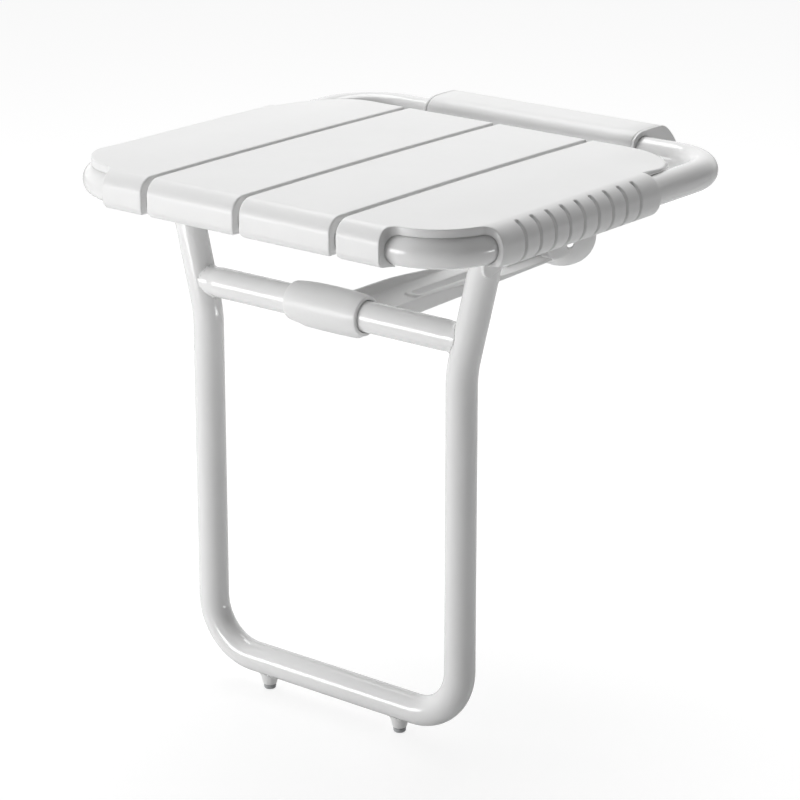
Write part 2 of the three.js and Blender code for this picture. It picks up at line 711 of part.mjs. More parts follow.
/** Floor of the arm's channel in (y, z). */
function armFloor() {
  return [
    v2(LEG_Y + 6, ARM_FRONT_Z),
    v2(ARM_REAR_Y + 3, ARM_REAR_Z),
    v2(ARM_REAR_Y + 1.5, ARM_REAR_Z + 3.2),
    v2(LEG_Y + 6, ARM_FRONT_Z + 3.2),
  ];
}

/** Tongue between the wall base's knuckles, in (y, z). */
function armTongue() {
  return [
    v2(HINGE_Y - 60, ARM_REAR_Z - 0.8),
    v2(HINGE_Y - 12, ARM_REAR_Z),
    ...arc(HINGE_Y, STRUT_Z, 12.5, -Math.PI * 0.55, Math.PI * 0.6, 12),
    v2(HINGE_Y - 24, STRUT_Z - 5),
    v2(HINGE_Y - 60, ARM_REAR_Z + 4),
  ];
}

/** Stadium outline in (x, y) between two centres on the middle line. */
function stadium(halfWidth, y0, y1) {
  return [
    ...arc(0, y0, halfWidth, Math.PI, Math.PI * 2, 8),
    ...arc(0, y1, halfWidth, 0, Math.PI, 8),
  ];
}

/** Half outline of the barrel round the crossbar, as (radius, x) pairs. */
function sleeveProfile() {
  const left = [
    [SLEEVE_BORE, -SLEEVE_HALF],
    [SLEEVE_END_R, -SLEEVE_HALF],
    [SLEEVE_END_R + 1, -SLEEVE_HALF * 0.9],
    [SLEEVE_R - 0.6, -SLEEVE_HALF * 0.66],
    [SLEEVE_R, -SLEEVE_HALF * 0.42],
  ];
  const right = left.map(([radius, x]) => [radius, -x]).reverse();
  return [...left, ...right, left[0]];
}

/** Channel with the barrel at its front, the tongue at its rear and a slot in its floor. */
function strutArm() {
  const barrel = at(turnedX(sleeveProfile(), 24), 0, LEG_Y, STRUT_Z);
  const wall = slabX(armSide(), ARM_HALF - ARM_WALL, ARM_HALF);
  const floor = slabX(armFloor(), -ARM_HALF, ARM_HALF);
  const tongue = slabX(armTongue(), -TONGUE_HALF, TONGUE_HALF);
  const rim = slabZ(stadium(11, LEG_Y + 116, LEG_Y + 204), ARM_FRONT_Z + 2, -109.5);
  const slot = slabZ(stadium(6.5, LEG_Y + 116, LEG_Y + 204), -130, -90);
  const throat = slabX(circleShape(SLEEVE_BORE, 24, LEG_Y, STRUT_Z), -60, 60);
  const bore = slabX(circleShape(PIN_BORE, 16, HINGE_Y, STRUT_Z), -40, 40);
  const walls = join(solid(wall), solid(mirrored(wall)));
  const body = join(solid(barrel), walls, solid(floor), solid(tongue), solid(rim));
  return geometryOf(cut(body, solid(slot), solid(throat), solid(bore)));
}

add('strut', 'strut_arm', strutArm(), plasticWhite);

for (const group of Object.values(groups)) {
  group.position.z = AXIS_RISE;
}

export default object;
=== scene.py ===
"""Looks of a wall-hung folding shower seat: moulded white slats on a coated white tube frame.

Lengths are millimetres in the part's own frame unless a name says otherwise, and meshes are
made in metres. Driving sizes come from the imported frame.
"""

import json
import math

import bpy
import numpy as np
from mathutils import Matrix, Vector

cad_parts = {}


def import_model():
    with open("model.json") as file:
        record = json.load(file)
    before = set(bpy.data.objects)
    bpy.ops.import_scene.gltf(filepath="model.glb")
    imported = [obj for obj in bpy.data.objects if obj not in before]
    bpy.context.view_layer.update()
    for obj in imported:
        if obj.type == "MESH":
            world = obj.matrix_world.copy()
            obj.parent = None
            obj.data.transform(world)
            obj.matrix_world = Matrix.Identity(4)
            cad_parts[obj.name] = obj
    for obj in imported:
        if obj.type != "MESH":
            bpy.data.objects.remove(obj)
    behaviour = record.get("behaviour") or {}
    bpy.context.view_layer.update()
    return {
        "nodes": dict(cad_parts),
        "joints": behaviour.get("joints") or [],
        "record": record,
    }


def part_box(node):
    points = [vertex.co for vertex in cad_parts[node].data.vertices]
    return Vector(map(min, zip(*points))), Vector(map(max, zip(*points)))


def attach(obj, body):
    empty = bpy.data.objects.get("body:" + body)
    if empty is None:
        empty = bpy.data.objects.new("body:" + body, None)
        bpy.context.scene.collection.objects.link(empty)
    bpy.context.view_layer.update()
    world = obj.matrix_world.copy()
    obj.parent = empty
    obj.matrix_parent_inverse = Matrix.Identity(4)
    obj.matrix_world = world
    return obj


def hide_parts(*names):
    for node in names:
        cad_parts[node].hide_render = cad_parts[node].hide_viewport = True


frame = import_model()

MM = 0.001


# ---------------------------------------------------------------- sizes taken from the frame

def node_box(node):
    """Lowest and highest corner of a CAD node, in millimetres."""
    low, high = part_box(node)
    return np.array(low) / MM, np.array(high) / MM


def joint_place(name):
    """A joint's place in millimetres."""
    joint = next(j for j in frame["joints"] if j["name"] == name)
    return np.array(joint["pos_m"]) / MM


HINGE_Y, LEVEL = joint_place("seat_fold")[1:]
LEG_Y = joint_place("leg_fold")[1]
STRUT_Z = joint_place("strut_fold")[2]

SLAT_LOW, SLAT_HIGH = node_box("slat_3")
OUTER_LOW, OUTER_HIGH = node_box("slat_4")
LEG_LOW = node_box("leg_tube")[0]
COVER_HALF = node_box("housing_cover")[1][0]
BASE_LOW, BASE_HIGH = node_box("strut_wall_base")
ARM_LOW, ARM_HIGH = node_box("strut_arm")
FOOT_LOW, FOOT_HIGH = node_box("foot_tip_right")
BOSS_LOW = node_box("foot_boss_right")[0]

LUG_LOW, LUG_HIGH = node_box("leg_lug_right")

TUBE_R = 13.0
FRAME_HALF = 199.0
FRAME_BEND = 50.0
FRONT_Y = LEG_Y - 95.0
SLAT_TOP = SLAT_HIGH[2] - LEVEL
SLAT_REAR_Y = SLAT_HIGH[1]
FLOOR_Z = FOOT_LOW[2]
LEG_HALF = 137.0
LEG_BEND = 47.0
KNEE_BEND = 110.0
FOOT_BAR_Z = LEG_LOW[2] + TUBE_R
KNEE_Z = LEVEL - 125.0
KNEE_SPLAY = 0.246
LEG_TOP_X = LEG_HALF + KNEE_SPLAY * (LEVEL - KNEE_Z)
SIDES = ((1, "right"), (-1, "left"))


# ---------------------------------------------------------------- mesh helpers

def mesh_of(name, points, faces):
    """Mesh in metres from points in millimetres."""
    mesh = bpy.data.meshes.new(name)
    mesh.from_pydata((np.asarray(points, float) * MM).tolist(), [], faces)
    mesh.validate()
    mesh.update()
    return mesh


def ring_faces(rows, columns, closed_rows=False):
    """Quads between rows of points, each row a closed ring."""
    faces = []
    for i in range(rows if closed_rows else rows - 1):
        a, b = i * columns, ((i + 1) % rows) * columns
        for j in range(columns):
            k = (j + 1) % columns
            faces.append((a + j, a + k, b + k, b + j))
    return faces


def bent_path(corners, radii, step=2.5):
    """Points along straight runs joined by round bends."""
    corners = [np.asarray(c, float) for c in corners]
    points = [corners[0]]
    for before, corner, after, radius in zip(corners, corners[1:], corners[2:], radii):
        back = (before - corner) / np.linalg.norm(before - corner)
        ahead = (after - corner) / np.linalg.norm(after - corner)
        half = math.acos(np.clip(back @ ahead, -1, 1)) / 2
        middle = (back + ahead) / np.linalg.norm(back + ahead)
        centre = corner + middle * radius / math.sin(half)
        first = corner + back * radius / math.tan(half) - centre
        last = corner + ahead * radius / math.tan(half) - centre
        turn = math.pi - 2 * half
        count = max(6, int(radius * turn / step))
        for k in range(count + 1):
            a = turn * k / count
            points.append(centre + (math.sin(turn - a) * first + math.sin(a) * last) / math.sin(turn))
    points.append(corners[-1])
    return points


def refine(points, longest=12.0):
    """The same line with long straight runs divided."""
    fine = [points[0]]
    for a, b in zip(points, points[1:]):
        count = max(1, math.ceil(np.linalg.norm(b - a) / longest))
        fine += [a + (b - a) * k / count for k in range(1, count + 1)]
    return np.array(fine)


def sweep(points, radius, sides=48, rim=1.2):
    """Round bar along points: rings, and a narrow rim round a flat disc at each end."""
    points = np.asarray(points, float)
    tangents = np.gradient(points, axis=0)
    tangents /= np.linalg.norm(tangents, axis=1)[:, None]
    angles = np.linspace(0, 2 * math.pi, sides, endpoint=False)
    rings = []

    def ring(place, tangent, r):
        side = np.cross((0, 1, 0), tangent)
        side /= np.linalg.norm(side)
        top = np.cross(tangent, side)
        rings.append(place + r * (np.outer(np.cos(angles), side) + np.outer(np.sin(angles), top)))

    for turn in (0, math.pi / 4, math.pi / 2):
        ring(points[0], tangents[0], radius - rim * (1 - math.sin(turn)))
    for place, tangent in zip(points[1:], tangents[1:]):
        ring(place, tangent, radius)
    ring(points[-1], tangents[-1], radius - rim)
    faces = ring_faces(len(rings), sides)
    faces.append(tuple(reversed(range(sides))))
    faces.append(tuple((len(rings) - 1) * sides + j for j in range(sides)))
    return np.concatenate(rings), faces


def flipped(faces):
    """The same faces, looking the other way."""
    return [tuple(reversed(face)) for face in faces]


def turned(profile, sides=48):
    """Solid of revolution round Z from (radius, height) pairs; both ends lie on the axis."""
    angles = np.linspace(0, 2 * math.pi, sides, endpoint=False)
    inner = profile[1:-1]
    points = [(r * math.cos(a), r * math.sin(a), z) for r, z in inner for a in angles]
    faces = ring_faces(len(inner), sides)
    first, last = len(points), len(points) + 1
    points += [(0, 0, profile[0][1]), (0, 0, profile[-1][1])]
    end = (len(inner) - 1) * sides
    for j in range(sides):
        k = (j + 1) % sides
        faces.append((first, k, j))
        faces.append((last, end + j, end + k))
    return np.array(points, float), faces


def rounded_profile(corners, radius=0.5, steps=3):
    """Outline in which each inner corner of an open line is rounded."""
    line = [np.asarray(corners[0], float)]
    for before, corner, after in zip(corners, corners[1:], corners[2:]):
        before, corner, after = (np.asarray(p, float) for p in (before, corner, after))
        back, ahead = before - corner, after - corner
        size = min(radius, 0.45 * np.linalg.norm(back), 0.45 * np.linalg.norm(ahead))
        start = corner + back / np.linalg.norm(back) * size
        stop = corner + ahead / np.linalg.norm(ahead) * size
        for k in range(steps + 1):
            t = k / steps
            line.append((1 - t) ** 2 * start + 2 * t * (1 - t) * corner + t ** 2 * stop)
    line.append(np.asarray(corners[-1], float))
    return line


def along_x(points, at):
    """Points turned so that their Z axis lies along X, then moved."""
    return points[:, [2, 0, 1]] + np.asarray(at, float)


# ---------------------------------------------------------------- rounded solids from distance fields

def round_and(a, b, r):
    """Overlap of two solids whose shared edge has radius r."""
    return np.minimum(np.maximum(a, b), -r) + np.hypot(np.maximum(a + r, 0), np.maximum(b + r, 0))


def round_or(a, b, r):
    """Union of two solids with a fillet of radius r between them."""
    return np.maximum(np.minimum(a, b), r) - np.hypot(np.maximum(r - a, 0), np.maximum(r - b, 0))


def carve(a, b, r=0.6):
    """The first solid less the second."""
    return round_and(a, -b, r)


def slab(v, low, high):
    """Distance to the stretch between two values."""
    return np.abs(v - (low + high) / 2) - (high - low) / 2


def box2(u, v, low, high, r=0.0):
    """Rectangle with round corners."""
    du, dv = slab(u, low[0], high[0]) + r, slab(v, low[1], high[1]) + r
    return np.minimum(np.maximum(du, dv), 0) + np.hypot(np.maximum(du, 0), np.maximum(dv, 0)) - r


def stadium(u, v, v0, v1, r):
    """Obround of radius r round the line from v0 to v1."""
    return np.hypot(u, v - np.clip(v, v0, v1)) - r


def smooth_step(t):
    """Ease from 0 to 1."""
    t = np.clip(t, 0, 1)
    return t * t * (3 - 2 * t)


def surface_net(values, low, step):
    """Closed quad mesh round the negative region of a field sampled on a grid."""
    cells = np.array(values.shape) - 1
    total = np.zeros((*cells, 3), np.float32)
    count = np.zeros(cells, np.int8)
    inside = values < 0
    crossings = []
    for axis in range(3):
        u, v = [k for k in range(3) if k != axis]
        lead = [slice(None)] * 3
        tail = [slice(None)] * 3
        lead[axis], tail[axis] = slice(0, -1), slice(1, None)
        a, b = values[tuple(lead)], values[tuple(tail)]
        crossed = inside[tuple(lead)] != inside[tuple(tail)]
        crossings.append((crossed, inside[tuple(lead)]))
        places = np.argwhere(crossed)
        first = a[crossed]
        t = first / (first - b[crossed])
        for du in (0, 1):
            for dv in (0, 1):
                cell = places.copy()
                cell[:, u] -= du
                cell[:, v] -= dv
                good = np.all((cell >= 0) & (cell < cells), axis=1)
                offset = np.zeros((len(cell), 3), np.float32)
                offset[:, axis] = t
                offset[:, u] = du
                offset[:, v] = dv
                index = tuple(cell[good].T)
                np.add.at(total, index, offset[good])
                np.add.at(count, index, 1)
    active = count > 0
    number = np.full(cells, -1, np.int64)
    number[active] = np.arange(active.sum())
    points = (np.argwhere(active) + total[active] / count[active][:, None]) * step + low
    faces = []
    for axis, (crossed, start_inside) in enumerate(crossings):
        u, v = [(1, 2), (2, 0), (0, 1)][axis]
        places = np.argwhere(crossed)
        corners = []
        for du, dv in ((1, 1), (0, 1), (0, 0), (1, 0)):
            cell = places.copy()
            cell[:, u] -= du
            cell[:, v] -= dv
            corners.append(number[tuple(cell.T)])
        quad = np.stack(corners, axis=1)
        outward = start_inside[crossed]
        faces.append(quad[outward])
        faces.append(quad[~outward][:, ::-1])
    return points, np.concatenate(faces)


def settle(shape, points, rounds=3, reach=0.05):
    """Moves points onto the exact surface of a shape along its slope."""
    for _ in range(rounds):
        x, y, z = points.T
        value = shape(x, y, z)
        slope = np.stack([
            shape(x + reach, y, z) - shape(x - reach, y, z),
            shape(x, y + reach, z) - shape(x, y - reach, z),
            shape(x, y, z + reach) - shape(x, y, z - reach),
        ], axis=1) / (2 * reach)
        size = np.maximum((slope ** 2).sum(1), 0.2)
        points = points - np.clip(value / size, -0.5, 0.5)[:, None] * slope
    return points


def moulded(shape, low, high, step, keep):
    """Mesh in metres of a shape(x, y, z) given by its signed distance in millimetres."""
    step = np.asarray(step, float)
    low = np.asarray(low, float) - 1.7 * step
    counts = np.ceil((np.asarray(high, float) + 1.7 * step - low) / step).astype(int) + 1
    x, y, z = (low[k] + np.arange(counts[k]) * step[k] for k in range(3))
    values = shape(x[:, None, None], y[None, :, None], z[None, None, :])
    values = np.broadcast_to(values, tuple(counts)).astype(np.float32)
    for axis in range(3):
        for end in (0, -1):
            border = np.moveaxis(values, axis, 0)[end]
            np.abs(border, out=border)
    points, faces = surface_net(values, low, step)
    points = settle(shape, points)
    mesh = mesh_of("moulded", points, faces.tolist())
    return thinned(mesh, keep)


def thinned(mesh, keep):
    """Collapses the flattest faces of a mesh until the given share is left."""
    holder = bpy.data.objects.new("holder", mesh)
    bpy.context.scene.collection.objects.link(holder)
    thin = holder.modifiers.new("thin", "DECIMATE")
    thin.ratio = keep
    graph = bpy.context.evaluated_depsgraph_get()
    result = bpy.data.meshes.new_from_object(holder.evaluated_get(graph))
    bpy.data.objects.remove(holder)
    return result


def mirror_mesh(mesh):
    """Copy of a mesh on the other side of the seat's middle."""
    twin = mesh.copy()
    co = np.empty(len(twin.vertices) * 3, np.float32)
    twin.vertices.foreach_get("co", co)
    co[0::3] *= -1
    twin.vertices.foreach_set("co", co)
    twin.flip_normals()
    twin.update()
    return twin


def moved_mesh(mesh, dx):
    """Copy of a mesh moved sideways, in millimetres."""
    twin = mesh.copy()
    co = np.empty(len(twin.vertices) * 3, np.float32)
    twin.vertices.foreach_get("co", co)
    co[0::3] += dx * MM
    twin.vertices.foreach_set("co", co)
    twin.update()
    return twin


# ---------------------------------------------------------------- materials

class Nodes:
    """A material's node tree, with short ways to add to it."""

    def __init__(self, name):
        self.material = bpy.data.materials.new(name)
        self.material.use_nodes = True
        self.tree = self.material.node_tree
        self.tree.nodes.clear()
        self.output = self.tree.nodes.new("ShaderNodeOutputMaterial")
        self.shader = self.tree.nodes.new("ShaderNodeBsdfPrincipled")
        self.tree.links.new(self.shader.outputs[0], self.output.inputs["Surface"])
        self.place = self.tree.nodes.new("ShaderNodeTexCoord").outputs["Object"]

    def noise(self, scale, detail=3.0, roughness=0.5, stretch=(1, 1, 1)):
        mapping = self.tree.nodes.new("ShaderNodeMapping")
        mapping.inputs["Scale"].default_value = stretch
        self.tree.links.new(self.place, mapping.inputs["Vector"])
        node = self.tree.nodes.new("ShaderNodeTexNoise")
        node.inputs["Scale"].default_value = scale
        node.inputs["Detail"].default_value = detail
        node.inputs["Roughness"].default_value = roughness
        self.tree.links.new(mapping.outputs[0], node.inputs["Vector"])
        return node.outputs[0]

    def ranged(self, value, low, high, start=0.3, stop=0.7):
        node = self.tree.nodes.new("ShaderNodeMapRange")
        node.inputs["From Min"].default_value = start
        node.inputs["From Max"].default_value = stop
        node.inputs["To Min"].default_value = low
        node.inputs["To Max"].default_value = high
        self.tree.links.new(value, node.inputs["Value"])
        return node.outputs[0]

    def blend(self, value, first, second):
        node = self.tree.nodes.new("ShaderNodeMix")
        node.data_type = "RGBA"
        self.tree.links.new(value, node.inputs["Factor"])
        for socket, colour in ((node.inputs[6], first), (node.inputs[7], second)):
            if isinstance(colour, tuple):
                socket.default_value = (*colour, 1)
            else:
                self.tree.links.new(colour, socket)
        return node.outputs[2]

    def bump(self, height, strength, distance, after=None):
        node = self.tree.nodes.new("ShaderNodeBump")
        node.inputs["Strength"].default_value = strength
        node.inputs["Distance"].default_value = distance
        self.tree.links.new(height, node.inputs["Height"])
        if after is not None:
            self.tree.links.new(after, node.inputs["Normal"])
        return node.outputs[0]

    def set(self, **values):
        for name, value in values.items():
            socket = self.shader.inputs[name.replace("_", " ")]
            if hasattr(value, "is_linked"):
                self.tree.links.new(value, socket)
            else:
                socket.default_value = value
        return self


def coated_white():
    """Glossy white coating: faint orange peel, and a slightly uneven gloss."""
    n = Nodes("white_coating")
    shade = n.blend(n.ranged(n.noise(14, 4), 0, 1), (0.86, 0.86, 0.858), (0.885, 0.885, 0.882))
    gloss = n.ranged(n.noise(60, 5, 0.6), 0.13, 0.21)
    peel = n.bump(n.noise(420, 2), 0.10, 0.0002)
    grain = n.bump(n.noise(2600, 2), 0.05, 0.00005, after=peel)
    n.set(Base_Color=shade, Roughness=gloss, Normal=grain)
    n.set(Coat_Weight=0.35, Coat_Roughness=0.06, Specular_IOR_Level=0.5)
    return n.material


def moulded_white():
    """Moulded white plastic: fine spark-eroded grain with a soft sheen and faint sink waves."""
    n = Nodes("white_plastic")
    shade = n.blend(n.ranged(n.noise(9, 5, 0.55), 0, 1), (0.835, 0.835, 0.832), (0.865, 0.865, 0.862))
    gloss = n.ranged(n.noise(110, 6, 0.65), 0.30, 0.40)
    waves = n.bump(n.noise(24, 2), 0.12, 0.0006)
    grain = n.bump(n.noise(3400, 2, 0.6), 0.10, 0.00006, after=waves)
    n.set(Base_Color=shade, Roughness=gloss, Normal=grain)
    n.set(Specular_IOR_Level=0.5)
    return n.material


def grey_plastic():
    """Matt light grey plastic for bearings and washers."""
    n = Nodes("grey_plastic")
    shade = n.blend(n.ranged(n.noise(30, 4), 0, 1), (0.50, 0.51, 0.52), (0.58, 0.59, 0.60))
    grain = n.bump(n.noise(1800, 4), 0.2, 0.0001)
    n.set(Base_Color=shade, Roughness=n.ranged(n.noise(90, 4), 0.45, 0.6), Normal=grain)
    return n.material


def stainless():
    """Plain stainless steel with fine turning lines and a few dull smears."""
    n = Nodes("steel")
    shade = n.blend(n.ranged(n.noise(25, 4), 0, 1), (0.60, 0.60, 0.61), (0.72, 0.72, 0.73))
    lines = n.noise(900, 3, 0.6, stretch=(1, 1, 9))
    n.set(Base_Color=shade, Metallic=1.0, Roughness=n.ranged(n.noise(50, 5), 0.2, 0.36))
    n.set(Normal=n.bump(lines, 0.15, 0.00006))
    return n.material


def foot_rubber():
    """Matt grey rubber with a dusty, pitted surface."""
    n = Nodes("foot_rubber")
    shade = n.blend(n.ranged(n.noise(220, 5, 0.6), 0, 1), (0.40, 0.41, 0.42), (0.52, 0.53, 0.54))
    pits = n.bump(n.noise(1500, 4, 0.7), 0.35, 0.00015)
    n.set(Base_Color=shade, Roughness=n.ranged(n.noise(400, 3), 0.6, 0.85), Normal=pits)
    return n.material


COAT, PLASTIC, GREY, STEEL, RUBBER = (
    coated_white(), moulded_white(), grey_plastic(), stainless(), foot_rubber())
SLOT_MATERIALS = {
    "white_coating": COAT,
    "white_plastic": PLASTIC,
    "grey_plastic": GREY,
    "steel": STEEL,
    "foot_rubber": RUBBER,
}
for part in frame["record"]["subparts"]:
    node_mesh = frame["nodes"][part["node"]].data
    node_mesh.materials.clear()
    node_mesh.materials.append(SLOT_MATERIALS[part["material_slot"]])


def add(name, mesh, body, slot, nodes, smooth_angle=None):
    """Links a mesh as a piece of a body, in its slot's material, for the CAD nodes it stands for."""
    piece = bpy.data.objects.new(name, mesh)
    bpy.context.scene.collection.objects.link(piece)
    mesh.materials.clear()
    mesh.materials.append(SLOT_MATERIALS[slot])
    mesh.shade_smooth()
    if smooth_angle is not None:
        mesh.set_sharp_from_angle(angle=math.radians(smooth_angle))
    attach(piece, body)
    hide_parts(*nodes)


# ---------------------------------------------------------------- tubes

def seat_frame():
    """Closed loop of bent tube, in rings of points."""
    half, rear, front = FRAME_HALF, HINGE_Y, FRONT_Y
    corners = [(0, rear, LEVEL), (half, rear, LEVEL), (half, front, LEVEL), (-half, front, LEVEL),
               (-half, rear, LEVEL), (0, rear, LEVEL)]
    line = refine(bent_path(corners, [FRAME_BEND] * 4))[:-1]
    sides = 48
    angles = np.linspace(0, 2 * math.pi, sides, endpoint=False)
    tangents = np.roll(line, -1, axis=0) - np.roll(line, 1, axis=0)
    tangents /= np.linalg.norm(tangents, axis=1)[:, None]
    across = np.cross(tangents, (0, 0, 1))
    rings = (line[:, None, :]
             + TUBE_R * np.cos(angles)[None, :, None] * across[:, None, :]
             + TUBE_R * np.sin(angles)[None, :, None] * np.array([0, 0, 1.0]))
    faces = flipped(ring_faces(len(line), sides, closed_rows=True))
    mesh = mesh_of("seat_tube", rings.reshape(-1, 3), faces)
    add("frame_loop", mesh, "seat", "white_coating", ("seat_frame_tube",))


def leg_line(top_z):
    """Centreline of the leg: down one upright, along the foot bar and up the other."""
    top_x = LEG_HALF + KNEE_SPLAY * (top_z - KNEE_Z)
    corners = [(top_x, LEG_Y, top_z), (LEG_HALF, LEG_Y, KNEE_Z), (LEG_HALF, LEG_Y, FOOT_BAR_Z),
               (-LEG_HALF, LEG_Y, FOOT_BAR_Z), (-LEG_HALF, LEG_Y, KNEE_Z), (-top_x, LEG_Y, top_z)]
    return refine(bent_path(corners, [KNEE_BEND, LEG_BEND, LEG_BEND, KNEE_BEND]))


def leg_frame():
    """Leg tube, which ends just under its pivots."""
    points, faces = sweep(leg_line(LEVEL - 14), TUBE_R)
    add("leg_loop", mesh_of("leg_tube", points, faces), "leg", "white_coating", ("leg_tube",), 50)


def crossbar():
    """Bar across the leg, swelling into a weld where it meets each upright."""
    lean = math.atan(KNEE_SPLAY)
    meet_x = LEG_HALF + KNEE_SPLAY * (STRUT_Z - KNEE_Z)

    def shape(x, y, z):
        beyond, v, w = np.abs(x) - meet_x, y - LEG_Y, z - STRUT_Z
        waist = 0.7 * smooth_step((beyond + 24) / 9)
        bar = np.maximum(np.hypot(v, w) - TUBE_R + waist, beyond)
        off = beyond * math.cos(lean) - w * math.sin(lean)
        upright = np.hypot(off, v) - TUBE_R
        bead = 0.4 + 4.2 * np.clip(1 - (v / TUBE_R) ** 2, 0, 1)
        return np.maximum(round_or(bar, upright, bead), 0.1 - upright)

    reach = TUBE_R + 6
    low = (-meet_x, LEG_Y - reach, STRUT_Z - reach)
    high = (meet_x, LEG_Y + reach, STRUT_Z + reach)
    mesh = moulded(shape, low, high, (1.0, 1.0, 1.0), 0.5)
    add("crossbar_welded", mesh, "leg", "white_coating", ("leg_crossbar",), 40)


# ---------------------------------------------------------------- slats

WRAP_R = 17.9                       # curl round the side tube
BORE_R = TUBE_R + 0.35
UNDER = SLAT_TOP - 6.4              # underside of the plate
EDGE = 1.4                          # round along a slat's long edges
LOW_CORNER = 6.0                    # round of the lower corners of a slat's front
REACH = FRONT_Y - SLAT_LOW[1]
HOOK_UNDER = SLAT_LOW[2] - LEVEL
LIP = BORE_R * math.cos(1.1)        # how far round the front tube the slats grip
CUT_X, CUT_Y, CUT_OVER = 145.5, LEG_Y - 53, 5.5
WRAP_END_Y = LEG_Y + 160
REAR_CORNER = 46.0
GROOVE_PITCH, GROOVE_COUNT = 19.3, 9
GROOVE_HALF, GROOVE_DEEP = 1.8, 3.2
FIRST_GROOVE_Y = WRAP_END_Y - 28.7 - GROOVE_PITCH * (GROOVE_COUNT - 1)
GROOVE_TOP = math.radians(68)       # angle on the curl where a groove begins
FAR = 60.0                          # a distance that no edge reaches


def frame_path(x, y):
    """Distance in plan outside the frame tube's centreline."""
    return box2(x, y, (-FRAME_HALF, FRONT_Y), (FRAME_HALF, HINGE_Y), FRAME_BEND)


def crown(x, y):
    """How far the seat's upper face lies below its highest line."""
    lengthwise = np.minimum(((y - LEG_Y - 45) / 170) ** 2, 1.2)
    side = smooth_step((np.abs(x) - 138) / 61)
    front = smooth_step((y - CUT_Y + 20) / 50)
    rear = smooth_step((y - WRAP_END_Y + 8) / 50)
    return lengthwise + side * (1.2 * front + 2.0 * rear)


def above_top(x, y, z):
    """Distance above the crowned upper face."""
    return z + crown(x, y) * smooth_step((z + 4) / 14) - SLAT_TOP


def slat_block(x, y, z):
    """Outside of the seat's edge: crowned top, and a front that comes down over the tube."""
    face = FRONT_Y - REACH - y
    return round_and(round_and(face, above_top(x, y, z), 14), HOOK_UNDER - z, 7)


def room_beneath(path, z):
    """Open room inside the front edge, past the lip that grips the tube."""
    return np.minimum(np.maximum(path - LIP, z - 4), np.maximum(path + 2.4, z - UNDER))


def inner_slat_shape(x0, x1):
    """Straight slat from x0 to x1."""
    def shape(x, y, z):
        z = z - LEVEL
        sides = slab(x, x0, x1)
        body = slat_block(0 * x, y, z)
        body = carve(body, np.hypot(y - FRONT_Y, z) - BORE_R, 0.5)
        body = carve(body, room_beneath(FRONT_Y - y, z), 0.8)
        body = round_and(body, y - SLAT_REAR_Y, 2.6)
        body = round_and(body, sides, EDGE)
        return np.maximum(body, round_and(sides, HOOK_UNDER - z, LOW_CORNER))
    return shape


def grip_grooves(x, y, z):
    """The row of grooves across the outside of the side curl."""
    number = np.clip(np.round((y - FIRST_GROOVE_Y) / GROOVE_PITCH), 0, GROOVE_COUNT - 1)
    off = y - FIRST_GROOVE_Y - GROOVE_PITCH * number
    floor_of_groove = WRAP_R - GROOVE_DEEP - np.hypot(x - FRAME_HALF, z)
    groove = np.maximum(np.abs(off) - GROOVE_HALF, floor_of_groove)
    top = z * math.cos(GROOVE_TOP) - (x - FRAME_HALF) * math.sin(GROOVE_TOP)
    return round_and(groove, top, 1.0)


def outer_slat_shape(x, y, z):
    """Right outer slat: curled round the side tube, and cut out over the frame's front corner."""
    x0 = OUTER_LOW[0]
    z = z - LEVEL
    path = frame_path(x, y)
    at_front = y < FRONT_Y + FAR
    side = round_and(above_top(x, y, z), x - FRAME_HALF - WRAP_R, WRAP_R)
    side = round_and(side, -WRAP_R - z, WRAP_R - 2)
    side = carve(side, grip_grooves(x, y, z), 0.7)
    body = np.maximum(side, np.where(at_front, slat_block(x, y, z), -FAR))
    plan = box2(x, y, (x0 - 200, FRONT_Y - 300), (FRAME_HALF, SLAT_REAR_Y), REAR_CORNER)
    whole = np.minimum(round_and(body, y - WRAP_END_Y, 1.2), round_and(body, plan, 2.2))
    whole = carve(whole, np.hypot(path, z) - BORE_R, 0.5)
    side_room = np.maximum(path + 2.4, z - UNDER)
    whole = carve(whole, np.where(y < CUT_Y, room_beneath(path, z), side_room), 0.8)
    whole = np.maximum(whole, np.where(y > WRAP_END_Y, UNDER - z, -FAR))
    cut = round_and(round_and(CUT_X - x, CUT_OVER - path, 10), y - CUT_Y, 8)
    whole = carve(whole, cut, 0.7)
    whole = round_and(whole, x0 - x, EDGE)
    low = np.where(at_front, HOOK_UNDER - z, HOOK_UNDER - z - FAR / 2)
    return np.maximum(whole, round_and(x0 - x, low, LOW_CORNER))


def slats():
    """Two inner slats from one mesh, and an outer one with its mirror image."""
    x0, x1 = SLAT_LOW[0], SLAT_HIGH[0]
    inner = moulded(inner_slat_shape(x0, x1), SLAT_LOW, SLAT_HIGH, (0.8, 1.0, 0.8), 0.3)
    add("slat_inner_right", inner, "seat", "white_plastic", ("slat_3",))
    add("slat_inner_left", moved_mesh(inner, -x0 - x1), "seat", "white_plastic", ("slat_2",))
    outer = moulded(outer_slat_shape, OUTER_LOW, OUTER_HIGH, (0.8, 0.8, 0.7), 0.35)
    add("slat_outer_right", outer, "seat", "white_plastic", ("slat_4",))
    add("slat_outer_left", mirror_mesh(outer), "seat", "white_plastic", ("slat_1",))


# ---------------------------------------------------------------- strut

SLEEVE_HALF = 39.0                  # barrel round the crossbar
ARM_HALF, ARM_WALL = 30.0, 3.2      # channel
SLOT_FROM, SLOT_TO, SLOT_R = LEG_Y + 116, LEG_Y + 204, 5.6
RIM_R = 11.0                        # raised rim round the slot
TONGUE_HALF, EYE_R = 13.9, 12.4     # tongue between the wall base's ears


def sleeve_radius(x):
    """Outside of the barrel round the crossbar."""
    return 15.2 + 3.7 * np.sqrt(np.clip(1 - (x / (SLEEVE_HALF + 2.5)) ** 2, 0, 1))


